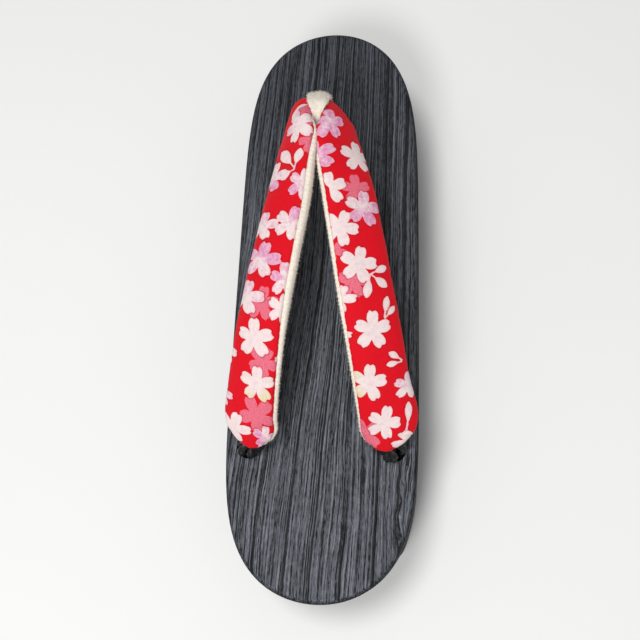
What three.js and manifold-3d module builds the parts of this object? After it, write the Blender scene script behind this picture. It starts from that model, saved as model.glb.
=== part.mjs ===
// A geta sandal: an oval wooden board with two teeth carved from the same block, and a padded V strap that is
// held by a velvet loop at the front and by two cords at the rear.
// Millimetres, +Z up, +Y towards the toe. The origin is on the floor under the middle of the board.
import * as THREE from 'three';
import { mergeVertices } from 'three/addons/utils/BufferGeometryUtils.js';
import Module from 'manifold-3d';

const wasm = await Module();
wasm.setup();

// The block: a tapered superellipse seen from above, sawn to a side profile
const LENGTH = 235;
const WIDTH = 73.5; // at mid length; the heel half is a little wider and the toe half narrower
const TOE_TAPER = 0.046;
const END_POWER = { toeLeft: 6.5, toeRight: 5.8, heelLeft: 6.0, heelRight: 5.8 }; // how square each corner is
const SIDE_POWER = 2;
const OUTLINE_STEPS = 120;
const TOP = 45;
const BOARD_THICKNESS = 19;
const CEILING = TOP - BOARD_THICKNESS;
const EDGE_ROUND = 2.2;
const TOE_LIP = 12; // board thickness left at the toe tip
const HEEL_LIP = 13;
const ROOT_FILLET = 3.5;
const FOOT_EDGE = 1;

// Where each tooth meets the board and the floor, along Y
const TEETH = {
  front: { rootBack: 25, footBack: 27, footFront: 53, rootFront: 55 },
  rear: { rootBack: -99, footBack: -97, footFront: -73, rootFront: -71 },
};

// Holes through the board
const FRONT_HOLE = { y: 68, radius: 5.2 };
const REAR_HOLE = { x: 28, y: -59.5, radius: 4.6 };

// One row for each section of a strap arm, from its rear end to the front fold, which both arms share.
// along: Y of the middle; out: its distance from the centre line; rise: its height above the board;
// inner, outer: half widths; half: half thickness; roll: degrees that the inner edge is turned up
const ARM_COLUMNS = ['along', 'out', 'rise', 'inner', 'outer', 'half', 'roll'];
const ARM_ROWS = [
  [-59.8, 24.4, 8.0, 4.0, 2.8, 3.0, 4],
  [-57.8, 24.7, 8.7, 7.4, 5.4, 3.4, 5],
  [-54.0, 25.1, 10.7, 9.6, 8.7, 3.9, 7],
  [-48.5, 25.2, 14.0, 10.1, 10.7, 4.2, 9],
  [-35.5, 23.4, 22.0, 10.4, 10.4, 4.3, 14],
  [-22.0, 21.0, 28.8, 10.4, 10.4, 4.3, 18],
  [-8.5, 18.3, 33.4, 10.4, 10.4, 4.3, 21],
  [10.0, 14.8, 36.2, 10.3, 10.3, 4.3, 24],
  [29.0, 11.3, 36.6, 10.2, 10.2, 4.2, 28],
  [44.0, 8.9, 35.4, 10.0, 10.0, 4.1, 36],
  [53.0, 7.8, 33.9, 9.4, 10.0, 4.0, 44],
  [60.2, 7.7, 32.2, 7.8, 8.4, 3.9, 51],
  [65.8, 5.4, 30.0, 6.2, 7.3, 3.8, 52],
];
const FOLD_ROW = [68.4, 0.0, 28.6, 5.6, 7.6, 3.8, 50];
const ROLL_BIAS = 4; // the left arm lies that much steeper, the right arm that much flatter
const FRONT_LEAN = { shift: -3.2, from: 20, to: 67 }; // the soft front leans to one side
const BELLY = 0.8; // the lining side is flatter than the crown
const FULLNESS = 0.82; // power of the section's curve; 1 is an ellipse
const STEPS_PER_ROW = 2;

// The seam between print and lining, in degrees round the section from its inner edge. It turns under at the fold.
const SEAM_INNER = { left: 30, right: 17, fold: 3, from: 42, to: 63 };
const SEAM_OUTER = 188;
const SEAM_GAP = 4;
const LINING_THICKNESS = 1.5;
const CLEARANCE = 0.3;
const COVER_ARC_STEPS = 12;
const LINING_ARC_STEPS = 9;

// The loop round the fold
const LOOP_SIDES = 14;
const LOOP_STEPS = 48;
// angle round the fold's section (180 is its front edge, 90 its crown, 0 its rear edge), the loop's width and
// thickness there, and its clearance from the fold
const LOOP_CROWN_COLUMNS = ['angle', 'width', 'thick', 'clear'];
const LOOP_CROWN_ROWS = [
  [172, 10.4, 2.7, 0.6],
  [140, 10.8, 2.6, 0.4],
  [95, 8.2, 2.6, 0.5],
  [50, 4.2, 2.8, 1.0],
  [15, 2.6, 3.2, 1.1],
  [-15, 2.6, 3.4, 1.2],
];
// height above the board, width, thickness, and distance forward of the middle of the front hole, from the fold down
const LOOP_LEG_COLUMNS = ['rise', 'width', 'thick', 'forward'];
const LOOP_FRONT_LEG_ROWS = [
  [11, 8.0, 3.4, 6.2],
  [1, 5.8, 4.0, 2.9],
  [-BOARD_THICKNESS, 5.4, 4.0, 2.3],
];
const LOOP_REAR_LEG_ROWS = [
  [21, 3.8, 3.8, -5.0],
  [9, 5.0, 4.0, -3.2],
  [-1, 5.4, 4.0, -2.4],
  [-BOARD_THICKNESS, 5.4, 4.0, -2.3],
];

const REAR_CORD_TOP = 5.8; // how far the cord stands out of its hole
const KNOT = { radius: 6.4, height: 8, profileSteps: 8, sides: 18 };
const KNOT_SEAT_GAP = 0.3;

const MATERIALS = {
  wood: new THREE.MeshStandardMaterial({ color: 0x34373b, roughness: 0.5, metalness: 0 }),
  print: new THREE.MeshStandardMaterial({ color: 0xe0202c, roughness: 0.85, metalness: 0 }),
  velvet: new THREE.MeshStandardMaterial({ color: 0xe9dfcb, roughness: 0.95, metalness: 0 }),
  cord: new THREE.MeshStandardMaterial({ color: 0x0d0d0e, roughness: 0.4, metalness: 0 }),
};

const radians = THREE.MathUtils.degToRad;
const lerp = THREE.MathUtils.lerp;

function named(columns, row) {
  return Object.fromEntries(columns.map((column, i) => [column, row[i]]));
}

// Solids from meshes and back
function toSolid(geometry) {
  const bare = geometry.clone();
  bare.deleteAttribute('normal');
  bare.deleteAttribute('uv');
  const merged = mergeVertices(bare, 1e-4);
  const mesh = new wasm.Mesh({
    numProp: 3,
    vertProperties: merged.attributes.position.array,
    triVerts: new Uint32Array(merged.index.array),
  });
  return new wasm.Manifold(mesh);
}

function toGeometry(solid) {
  const mesh = solid.getMesh();
  const geometry = new THREE.BufferGeometry();
  geometry.setAttribute('position', new THREE.BufferAttribute(mesh.vertProperties, 3));
  geometry.setIndex(new THREE.BufferAttribute(mesh.triVerts, 1));
  return geometry;
}

// A closed skin through rings of equal length, with flat ends that are also given in 2-D. Seen from the first ring
// towards the last, each ring runs clockwise.
function loft(rings, flatFirst, flatLast) {
  const size = rings[0].length;
  const positions = rings.flat().flatMap((p) => [p.x, p.y, p.z]);
  const index = [];
  for (let ring = 0; ring + 1 < rings.length; ring++) {
    for (let i = 0; i < size; i++) {
      const a = ring * size + i;
      const b = ring * size + ((i + 1) % size);
      index.push(a, a + size, b, b, a + size, b + size);
    }
  }
  for (const [a, b, c] of THREE.ShapeUtils.triangulateShape(flatFirst, [])) index.push(a, b, c);
  const last = (rings.length - 1) * size;
  for (const [a, b, c] of THREE.ShapeUtils.triangulateShape(flatLast, [])) {
    index.push(last + c, last + b, last + a);
  }
  const geometry = new THREE.BufferGeometry();
  geometry.setAttribute('position', new THREE.Float32BufferAttribute(positions, 3));
  geometry.setIndex(index);
  return geometry;
}

// The board's half width at a share u of its half length, towards a corner of that power
function boardHalfWidth(u, power) {
  return (WIDTH / 2) * (1 - TOE_TAPER * u) * (1 - Math.abs(u) ** power) ** (1 / SIDE_POWER);
}

function boardOutline() {
  const points = [];
  for (let i = 0; i < OUTLINE_STEPS; i++) {
    const turn = (2 * Math.PI * (i + 0.5)) / OUTLINE_STEPS;
    const side = Math.sign(Math.cos(turn));
    const end = Math.sin(turn) > 0 ? 'toe' : 'heel';
    const power = END_POWER[end + (side < 0 ? 'Left' : 'Right')];
    const u = Math.sign(Math.sin(turn)) * Math.abs(Math.sin(turn)) ** (2 / power);
    points.push(new THREE.Vector2(side * boardHalfWidth(u, power), (u * LENGTH) / 2));
  }
  return new THREE.Shape(points);
}

// A closed shape through corners, each rounded off by its own radius
function roundedShape(corners) {
  const shape = new THREE.Shape();
  corners.forEach((corner, i) => {
    const here = new THREE.Vector2(corner.y, corner.z);
    const before = corners[(i + corners.length - 1) % corners.length];
    const after = corners[(i + 1) % corners.length];
    const reach = corner.round ?? 0;
    const from = new THREE.Vector2(before.y, before.z).sub(here).setLength(reach).add(here);
    const to = new THREE.Vector2(after.y, after.z).sub(here).setLength(reach).add(here);
    if (i === 0) shape.moveTo(from.x, from.y);
    else shape.lineTo(from.x, from.y);
    if (reach > 0) shape.quadraticCurveTo(here.x, here.y, to.x, to.y);
  });
  shape.closePath();
  return shape;
}

function toothCorners(tooth) {
  return [
    { y: tooth.rootBack, z: CEILING, round: ROOT_FILLET },
    { y: tooth.footBack, z: 0, round: FOOT_EDGE },
    { y: tooth.footFront, z: 0, round: FOOT_EDGE },
    { y: tooth.rootFront, z: CEILING, round: ROOT_FILLET },
  ];
}

// The saw cut seen from the side: teeth, the space between them, and both undersides rising to the tips
function sideProfile() {
  const beyond = LENGTH / 2 + 15;
  const above = TOP + 15;
  const rising = (root, lip) => {
    const slope = (TOP - lip - CEILING) / (LENGTH / 2 - Math.abs(root));
    return CEILING + slope * (beyond - Math.abs(root));
  };
  return roundedShape([
    { y: beyond, z: above },
    { y: -beyond, z: above },
    { y: -beyond, z: rising(TEETH.rear.rootBack, HEEL_LIP) },
    ...toothCorners(TEETH.rear),
    ...toothCorners(TEETH.front),
    { y: beyond, z: rising(TEETH.front.rootFront, TOE_LIP) },
  ]);
}

function holeCutter(x, y, radius) {
  const drill = new THREE.CylinderGeometry(radius, radius, TOP * 2, 32);
  drill.rotateX(Math.PI / 2);
  drill.translate(x, y, TOP);
  return toSolid(drill);
}

function woodBase() {
  const below = 10;
  const block = new THREE.ExtrudeGeometry(boardOutline(), {
    depth: TOP + below - 2 * EDGE_ROUND,
    bevelThickness: EDGE_ROUND,
    bevelSize: EDGE_ROUND,
    bevelOffset: -EDGE_ROUND,
    bevelSegments: 4,
  });
  block.translate(0, 0, EDGE_ROUND - below);
  const across = WIDTH * 1.5;
  const profile = new THREE.ExtrudeGeometry(sideProfile(), {
    depth: across,
    bevelEnabled: false,
    curveSegments: 5,
  });
  const alongY = new THREE.Vector3(0, 1, 0);
  const alongZ = new THREE.Vector3(0, 0, 1);
  const alongX = new THREE.Vector3(1, 0, 0);
  profile.applyMatrix4(new THREE.Matrix4().makeBasis(alongY, alongZ, alongX));
  profile.translate(-across / 2, 0, 0);
  let base = toSolid(block).intersect(toSolid(profile));
  base = base.subtract(holeCutter(0, FRONT_HOLE.y, FRONT_HOLE.radius));
  for (const side of [-1, 1]) {
    base = base.subtract(holeCutter(side * REAR_HOLE.x, REAR_HOLE.y, REAR_HOLE.radius));
  }
  return toGeometry(base);
}

// The strap's sections, from the left arm's rear end round the fold to the right arm's rear end
function strapRows() {
  const leanAt = (y) => FRONT_LEAN.shift * THREE.MathUtils.smoothstep(y, FRONT_LEAN.from, FRONT_LEAN.to);
  const arm = (side) =>
    ARM_ROWS.map((row) => {
      const section = named(ARM_COLUMNS, row);
      const turnedUnder = THREE.MathUtils.smoothstep(section.along, SEAM_INNER.from, SEAM_INNER.to);
      const seam = lerp(side < 0 ? SEAM_INNER.left : SEAM_INNER.right, SEAM_INNER.fold, turnedUnder);
      return { ...section, side, seam, roll: section.roll - side * ROLL_BIAS };
    });
  const fold = { ...named(ARM_COLUMNS, FOLD_ROW), side: 0, seam: SEAM_INNER.fold };
  return [...arm(-1), fold, ...arm(1).reverse()].map((section) => ({
    ...section,
    x: section.side * section.out + leanAt(section.along),
    y: section.along,
    z: TOP + section.rise,
  }));
}

const STRAP_ROWS = strapRows();
const smoothThrough = (points) => new THREE.CatmullRomCurve3(points, false, 'catmullrom', 0.5);
const STRAP_PATH = smoothThrough(STRAP_ROWS.map((r) => new THREE.Vector3(r.x, r.y, r.z)));
const STRAP_WIDTHS = smoothThrough(STRAP_ROWS.map((r) => new THREE.Vector3(r.inner, r.outer, r.half)));
const STRAP_TURNS = smoothThrough(STRAP_ROWS.map((r) => new THREE.Vector3(r.roll, r.seam, 0)));

// Where the strap's section stands at a share t of the way along it, and which way it faces
function strapFrame(t) {
  const middle = STRAP_PATH.getPoint(t);
  const ahead = STRAP_PATH.getTangent(t);
  const widths = STRAP_WIDTHS.getPoint(t);
  const turns = STRAP_TURNS.getPoint(t);
  const level = new THREE.Vector3().crossVectors(ahead, new THREE.Vector3(0, 0, 1)).normalize();
  const upright = new THREE.Vector3().crossVectors(level, ahead).normalize();
  const roll = radians(turns.x);
  const inward = level.clone().multiplyScalar(Math.cos(roll)).addScaledVector(upright, Math.sin(roll));
  const outward = upright.clone().multiplyScalar(Math.cos(roll)).addScaledVector(level, -Math.sin(roll));
  return {
    middle,
    inward,
    outward,
    inner: widths.x,
    outer: widths.y,
    half: widths.z,
    seam: turns.y,
  };
}

// A point of the section's outline, at an angle from its inner edge, taken in from the outside by inset
function sectionPoint(frame, degrees, inset) {
  const c = Math.cos(radians(degrees));
  const s = Math.sin(radians(degrees));
  const reach = (c > 0 ? frame.inner : frame.outer) - inset;
  const depth = (s > 0 ? frame.half : frame.half * BELLY) - inset;
  return new THREE.Vector2(
    Math.sign(c) * reach * Math.abs(c) ** FULLNESS,
    Math.sign(s) * depth * Math.abs(s) ** FULLNESS,
  );
}

function sectionArc(frame, from, to, steps, inset) {
  const points = [];
  for (let i = 0; i <= steps; i++) points.push(sectionPoint(frame, lerp(from, to, i / steps), inset));
  return points;
}

function liningArc(frame, inset) {
  const from = SEAM_OUTER + SEAM_GAP;
  const to = 360 + frame.seam - SEAM_GAP;
  return sectionArc(frame, from, to, LINING_ARC_STEPS, inset);
}

function liningSection(frame) {
  return [...liningArc(frame, 0), ...liningArc(frame, LINING_THICKNESS).reverse()];
}

// The padded print: the crown outside, and underneath a bed that the lining lies in
function coverSection(frame) {
  const bed = LINING_THICKNESS + CLEARANCE;
  return [
    ...sectionArc(frame, frame.seam, SEAM_OUTER, COVER_ARC_STEPS, 0),
    sectionPoint(frame, SEAM_OUTER, bed),
    ...liningArc(frame, bed),
    sectionPoint(frame, 360 + frame.seam, bed),
  ];
}

function strapSkin(sectionOf) {
  const count = (STRAP_ROWS.length - 1) * STEPS_PER_ROW;
  const flats = [];
  const rings = [];
  for (let i = 0; i <= count; i++) {
    const frame = strapFrame(i / count);
    const flat = sectionOf(frame);
    flats.push(flat);
    rings.push(
      flat.map((p) =>
        frame.middle.clone().addScaledVector(frame.inward, p.x).addScaledVector(frame.outward, p.y),
      ),
    );
  }
  return loft(rings, flats[0], flats[count]);
}

// The loop's middle line: up the front leg, round the fold's own section, and down the rear leg
function loopRows() {
  const fold = strapFrame(0.5);
  const crown = LOOP_CROWN_ROWS.map((row) => {
    const { angle, width, thick, clear } = named(LOOP_CROWN_COLUMNS, row);
    const p = sectionPoint(fold, angle, -(thick / 2 + clear));
    const place = fold.middle.clone().addScaledVector(fold.inward, p.x).addScaledVector(fold.outward, p.y);
    return { place, width, thick };
  });
  const leg = (rows) =>
    rows.map((row) => {
      const { rise, width, thick, forward } = named(LOOP_LEG_COLUMNS, row);
      const x = fold.middle.x * THREE.MathUtils.smoothstep(rise, 0, FOLD_ROW[2]);
      return { place: new THREE.Vector3(x, FRONT_HOLE.y + forward, TOP + rise), width, thick };
    });
  return [...leg(LOOP_FRONT_LEG_ROWS).reverse(), ...crown, ...leg(LOOP_REAR_LEG_ROWS)];
}

function frontLoop() {
  const rows = loopRows();
  const path = smoothThrough(rows.map((r) => r.place));
  const sizes = smoothThrough(rows.map((r) => new THREE.Vector3(r.width, r.thick, 0)));
  const sideways = new THREE.Vector3(1, 0, 0);
  const rings = [];
  const flats = [];
  for (let i = 0; i <= LOOP_STEPS; i++) {
    const t = i / LOOP_STEPS;
    const middle = path.getPoint(t);
    const ahead = path.getTangent(t);
    const across = sideways.clone().addScaledVector(ahead, -ahead.x).normalize();
    const away = new THREE.Vector3().crossVectors(across, ahead).normalize();
    const size = sizes.getPoint(t);
    const flat = [];
    for (let k = 0; k < LOOP_SIDES; k++) {
      const turn = (2 * Math.PI * k) / LOOP_SIDES;
      flat.push(new THREE.Vector2((size.x / 2) * Math.cos(turn), (size.y / 2) * Math.sin(turn)));
    }
    flats.push(flat);
    rings.push(flat.map((p) => middle.clone().addScaledVector(across, p.x).addScaledVector(away, p.y)));
  }
  return loft(rings, flats[0], flats[LOOP_STEPS]);
}

// A cord that fills its hole and ends in a dome under the strap's end
function rearCord() {
  const radius = REAR_HOLE.radius - CLEARANCE;
  const profile = [new THREE.Vector2(0, CEILING), new THREE.Vector2(radius, CEILING)];
  const domeSteps = 5;
  for (let i = 0; i <= domeSteps; i++) {
    const turn = (Math.PI / 2) * (i / domeSteps);
    profile.push(new THREE.Vector2(radius * Math.cos(turn), TOP + REAR_CORD_TOP * Math.sin(turn)));
  }
  profile[profile.length - 1].x = 0;
  return turned(profile, 20);
}

function knot() {
  const profile = [];
  for (let i = 0; i <= KNOT.profileSteps; i++) {
    const turn = -Math.PI / 2 + (Math.PI * i) / KNOT.profileSteps;
    profile.push(new THREE.Vector2(KNOT.radius * Math.cos(turn), (KNOT.height / 2) * Math.sin(turn)));
  }
  profile[0].x = 0;
  profile[KNOT.profileSteps].x = 0;
  return turned(profile, KNOT.sides);
}

// A solid of revolution about the vertical
function turned(profile, sides) {
  const geometry = new THREE.LatheGeometry(profile, sides);
  geometry.rotateX(Math.PI / 2);
  return toGeometry(toSolid(geometry));
}

function piece(name, geometry, material, x = 0, y = 0, z = 0) {
  const mesh = new THREE.Mesh(geometry, material);
  mesh.name = name;
  mesh.position.set(x, y, z);
  return mesh;
}

const sandal = new THREE.Group();
sandal.name = 'geta_sandal';

const upper = new THREE.Group();
upper.add(piece('strap_cover', strapSkin(coverSection), MATERIALS.print));
upper.add(piece('strap_lining', strapSkin(liningSection), MATERIALS.velvet));
upper.add(piece('front_loop', frontLoop(), MATERIALS.velvet));

const knotHeight = CEILING - KNOT_SEAT_GAP - KNOT.height / 2;
upper.add(piece('front_knot', knot(), MATERIALS.velvet, 0, FRONT_HOLE.y, knotHeight));
for (const [name, side] of [['left', -1], ['right', 1]]) {
  const x = side * REAR_HOLE.x;
  upper.add(piece(`rear_cord_${name}`, rearCord(), MATERIALS.cord, x, REAR_HOLE.y, 0));
  upper.add(piece(`rear_knot_${name}`, knot(), MATERIALS.cord, x, REAR_HOLE.y, knotHeight));
}

sandal.add(piece('wood_base', woodBase(), MATERIALS.wood));
sandal.add(upper);

export default sandal;
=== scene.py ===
"""A geta sandal: a black-stained board on two teeth, a padded strap in red blossom print, velvet, cord."""

import math

import bmesh
import bpy
import numpy as np
from mathutils import Matrix, Vector


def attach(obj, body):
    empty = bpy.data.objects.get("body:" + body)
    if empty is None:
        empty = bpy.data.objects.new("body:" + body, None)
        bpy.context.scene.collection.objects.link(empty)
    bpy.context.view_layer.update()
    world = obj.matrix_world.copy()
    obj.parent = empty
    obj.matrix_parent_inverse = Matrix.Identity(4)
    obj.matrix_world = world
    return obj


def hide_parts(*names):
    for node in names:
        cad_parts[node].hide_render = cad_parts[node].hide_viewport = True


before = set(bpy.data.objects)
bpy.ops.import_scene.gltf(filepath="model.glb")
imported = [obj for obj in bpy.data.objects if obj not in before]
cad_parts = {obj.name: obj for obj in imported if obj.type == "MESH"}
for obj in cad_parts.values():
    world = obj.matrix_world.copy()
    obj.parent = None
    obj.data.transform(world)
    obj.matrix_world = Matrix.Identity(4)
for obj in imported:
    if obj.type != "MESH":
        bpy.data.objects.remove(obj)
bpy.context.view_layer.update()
rng = np.random.default_rng(7)

MM = 0.001
UP = np.array((0.0, 0.0, 1.0))

# Sizes of the solids, in millimetres
TOP = 45.0
BOARD_THICKNESS = 19.0
CEILING = TOP - BOARD_THICKNESS
FRONT_HOLE_Y = 68.0
REAR_HOLE = {"x": 28.0, "y": -59.5}
REAR_CORD_TOP = 5.8
KNOT = {"height": 8.0, "seat_gap": 0.3}

# One row for each section of a strap arm, from its rear end to the front fold, which both arms share.
# along: Y of the middle; out: its distance from the centre line; rise: its height above the board;
# inner, outer: half widths; half: half thickness; roll: degrees that the inner edge is turned up
ARM_ROWS = (
    (-59.8, 24.4, 8.0, 4.0, 2.8, 3.0, 4),
    (-57.8, 24.7, 8.7, 7.4, 5.4, 3.4, 5),
    (-54.0, 25.1, 10.7, 9.6, 8.7, 3.9, 7),
    (-48.5, 25.2, 14.0, 10.1, 10.7, 4.2, 9),
    (-35.5, 23.4, 22.0, 10.4, 10.4, 4.3, 14),
    (-22.0, 21.0, 28.8, 10.4, 10.4, 4.3, 18),
    (-8.5, 18.3, 33.4, 10.4, 10.4, 4.3, 21),
    (10.0, 14.8, 36.2, 10.3, 10.3, 4.3, 24),
    (29.0, 11.3, 36.6, 10.2, 10.2, 4.2, 28),
    (44.0, 8.9, 35.4, 10.0, 10.0, 4.1, 36),
    (53.0, 7.8, 33.9, 9.4, 10.0, 4.0, 44),
    (60.2, 7.7, 32.2, 7.8, 8.4, 3.9, 51),
    (65.8, 5.4, 30.0, 6.2, 7.3, 3.8, 52),
)
FOLD_ROW = (68.4, 0.0, 28.6, 5.6, 7.6, 3.8, 50)
ROLL_BIAS = 4.0
FRONT_LEAN = {"shift": -2.3, "from": 20.0, "to": 67.0}
BELLY = 0.8
FULLNESS = 0.82
SEAM_INNER = {"left": 30.0, "right": 17.0, "fold": 3.0, "from": 42.0, "to": 63.0}
SEAM_OUTER = 188.0
SEAM_GAP = 4.0
LINING_THICKNESS = 1.5
CLEARANCE = 0.3

# The loop round the fold: angle round the fold's section, its width, thickness and clearance there, and how
# closely it follows the strap to both sides
LOOP_CROWN_ROWS = (
    (172, 8.4, 2.2, 0.3, 0.9),
    (140, 8.8, 2.0, 0.2, 1.0),
    (95, 8.8, 2.0, 0.3, 1.0),
    (50, 7.6, 2.2, 0.4, 1.0),
    (15, 5.2, 2.6, 0.6, 0.8),
    (-15, 3.0, 3.2, 1.0, 0.2),
)
# height above the board, width, thickness, and distance forward of the middle of the front hole
LOOP_FRONT_LEG_ROWS = ((11, 7.4, 3.4, 6.2), (1, 5.8, 4.0, 2.9), (-BOARD_THICKNESS, 5.4, 4.0, 2.3))
LOOP_REAR_LEG_ROWS = (
    (21, 3.8, 3.8, -5.0),
    (9, 5.0, 4.0, -3.2),
    (-1, 5.4, 4.0, -2.4),
    (-BOARD_THICKNESS, 5.4, 4.0, -2.3),
)
LOOP_ENDS = (190, -20)

# Marks of the wood by the right heel edge, as middles and half sizes: wavy figured grain and a small
# dark knot
FIGURE = {"middle": (31.0, -84.0), "size": (9.0, 30.0)}
KNOT_MARK = {"middle": (29.5, -92.0), "size": (1.1, 4.5)}

# The photograph's camera: its focal length in pixels, its degrees from straight down and of turn, the pixel
# at the middle of the sandal, and its place in millimetres
PHOTO_SIZE = 640
PHOTO_FOCAL = 976.0
PHOTO_TILT = 14.0
PHOTO_TURN = 0.6245
PHOTO_SANDAL_PIXEL = (219.5, 323.0)
CAMERA_PLACE = np.array((38.5, -100.35, 419.2))
SENSOR_WIDTH = 36.0
NEAR_CLIP = 0.01
WORLD_STRENGTH = 0.31
FLOOR_HALF = 2000.0

# The print, charted in pixels of the photograph: the middle of each blossom, its radius in
# millimetres, the direction of its first petal in degrees clockwise from the right, its kind, and how many
# petals show where not all do
BLOSSOMS = {"left": (
    (208, 107, 4.3, 200, "white", 1),
    (193, 122, 4.4, 262, "white", 1),
    (200, 113, 4.6, 160, "rose"),
    (214, 125, 4.0, 160, "rose", 3),
    (197, 128, 6.3, 179, "blush"),
    (209, 143, 4.6, 190, "rose"),
    (201, 185, 6.0, 150, "lilac"),
    (171, 181, 5.6, 80, "lilac"),
    (160, 228, 5.5, 292, "blush"),
    (189, 225, 6.3, 296, "lilac"),
    (159, 262, 7.0, 290, "mauve"),
    (183, 282, 6.0, 200, "lilac"),
    (143, 299, 6.2, 288, "blush"),
    (160, 306, 6.2, 280, "rose"),
    (180, 312, 5.4, 214, "white"),
    (152, 341, 6.9, 270, "white"),
    (161, 366, 6.0, 300, "rose"),
    (121, 354, 4.8, 0, "white"),
    (183, 363, 3.4, 180, "white"),
    (155, 388, 7.0, 56, "gold"),
    (155, 420, 7.0, 311, "rose"),
    (118, 397, 4.4, 0, "blush"),
    (131, 433, 6.0, 265, "white"),
    (164, 442, 4.6, 150, "mauve"),
), "right": (
    (230, 124, 6.2, 352, "orchid"),
    (217, 160, 5.8, 325, "orchid"),
    (257, 160, 5.9, 260, "white"),
    (229, 191, 6.4, 263, "white", 3),
    (256, 192, 5.6, 260, "rose"),
    (263, 211, 6.7, 57, "mauve"),
    (240, 230, 6.8, 292, "white"),
    (233, 254, 3.6, 20, "rose"),
    (258, 267, 6.8, 282, "white"),
    (253, 285, 5.8, 60, "rose"),
    (237, 302, 4.8, 290, "white"),
    (272, 333, 6.9, 273, "white"),
    (237, 338, 3.6, 0, "white"),
    (268, 386, 7.2, 134, "gold"),
    (307, 388, 5.0, 204, "blush"),
    (284, 426, 6.4, 292, "white"),
    (264, 438, 5.8, 300, "rose"),
    (309, 447, 5.6, 275, "white"),
)}
# Leaves and buds of the sprigs: the pixels of the stem's start and of the tip, and the width in millimetres
LEAVES = {"left": (
    (194, 170, 181, 154, 4.2),
    (193, 171, 200, 150, 3.4),
    (194, 171, 178, 180, 4.0),
), "right": (
    (270, 277, 286, 270, 2.8),
    (270, 277, 287, 290, 3.2),
    (270, 276, 266, 301, 3.2),
    (284, 321, 287, 299, 2.5),
    (284, 322, 294, 309, 2.2),
    (302, 363, 289, 355, 2.2),
    (302, 364, 286, 368, 2.2),
    (305, 433, 307, 404, 2.4),
)}
# How lilac and how golden the petals of some kinds are, from the first petal on
PETAL_LILAC = {
    "blush": (0.45, 0.3, 0.1, 0.0, 0.1),
    "lilac": (0.9, 0.5, 0.1, 0.2, 0.3),
    "mauve": (1.0, 0.9, 0.3, 0.5, 0.7),
    "orchid": (1.0, 0.95, 0.85, 0.8, 0.9),
    "gold": (0.0, 0.0, 0.0, 0.1, 0.0),
}
PETAL_GOLD = {"gold": (0.9, 0.6, 0.1, 0.0, 0.1)}

# Creases of the strap: the arms, distance back from the fold and inward from the crown,
# direction in degrees from inward to back, length, width and depth, in millimetres
BOTH = ("left", "right")
CREASES = (
    (BOTH, 9.0, -4.0, 125, 9.0, 1.3, 0.20),
    (BOTH, 8.0, 1.0, 105, 10.0, 1.2, 0.24),
    (BOTH, 10.5, 5.5, 85, 9.0, 1.1, 0.20),
    (BOTH, 134.0, -6.0, 75, 9.0, 1.5, 0.18),
    (BOTH, 136.0, -1.0, 90, 10.0, 1.4, 0.18),
    (BOTH, 134.0, 4.5, 105, 9.0, 1.5, 0.18),
    (("left",), 62.0, 5.0, 20, 8.0, 2.2, 0.18),
    (("left",), 97.0, -4.0, 170, 9.0, 2.4, 0.18),
    (("right",), 70.0, 4.0, 15, 9.0, 2.4, 0.18),
    (("right",), 105.0, -3.0, 165, 8.0, 2.2, 0.18),
)

# Where the padding swells past its even section, or sinks under it: distance back from the fold, length,
# the angle round the section at its middle, breadth in degrees, and height in millimetres
SWELLS = {"left": (
    (4.5, 3.6, 122, 40, 1.9),
    (11.0, 5.5, 150, 45, -1.2),
    (22.0, 13.0, 185, 45, -0.9),
    (18.0, 10.0, 8, 50, 1.2),
), "right": (
    (7.0, 5.5, 140, 48, -1.8),
    (20.0, 13.0, 180, 45, -0.6),
    (18.0, 10.0, 4, 45, 0.8),
    (130.0, 9.0, 180, 55, 1.4),
)}
SWELL_START = 4.0

# Relief of the cloth along its seams, and of the padding under it, in millimetres
PRINT_PUCKER = {"height": 0.16, "reach": 1.6}
PRINT_DIP = {"depth": 0.55, "width": 1.1}
PADDING_WAVE = 0.10
VELVET_BEAD = {"height": 0.30, "middle": 1.2, "spread": 1.2}
VELVET_PUCKER = {"height": 0.13, "reach": 3.5}
VELVET_DIP = {"depth": 0.5, "width": 0.9}

# The velvet's nap: how far its fibres lean, as a share of their length, and their lengths and half thickness
NAP_LEAN = 0.42
NAP_LENGTHS = (0.45, 1.15)
NAP_HALF = 0.05
NAP_CORNERS = ((1.0, 0.0), (-0.5, 0.87), (-0.5, -0.87))
NAP_FACES = ((0, 2, 1), (0, 1, 3), (1, 2, 3), (2, 0, 3))
LINING_NAP = {"count": 18000, "lowest_facing": -0.6}
LOOP_NAP = {"count": 5000, "from_rise": 8.0}


# Small tools

def smoothstep(value, low, high):
    share = np.clip((value - low) / (high - low), 0.0, 1.0)
    return share * share * (3.0 - 2.0 * share)


def unit(vectors):
    return vectors / np.linalg.norm(vectors, axis=-1, keepdims=True)


def arm_rows(table):
    """The rows of a table, each with its arm in front."""
    return [(arm, *row) for arm, rows in table.items() for row in rows]


def through(rows, t):
    """Smooth values through the rows, at row numbers t."""
    rows = np.asarray(rows, float)
    padded = np.vstack([2 * rows[0] - rows[1], rows, 2 * rows[-1] - rows[-2]])
    first = np.clip(np.floor(t).astype(int), 0, len(rows) - 2)
    w = (np.asarray(t) - first)[:, None]
    p0, p1, p2, p3 = (padded[first + k] for k in range(4))
    line = 2 * p1 + (p2 - p0) * w
    return 0.5 * (line + (2 * p0 - 5 * p1 + 4 * p2 - p3) * w**2 + (3 * p1 - p0 - 3 * p2 + p3) * w**3)


def lengths_along(points):
    """Distance from the first point to each point, along the second last axis."""
    steps = np.linalg.norm(np.diff(points, axis=-2), axis=-1)
    start = np.zeros(steps.shape[:-1] + (1,))
    return np.concatenate([start, np.cumsum(steps, axis=-1)], axis=-1)


def new_object(name, data):
    made = bpy.data.objects.new(name, data)
    bpy.context.scene.collection.objects.link(made)
    return made


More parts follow.
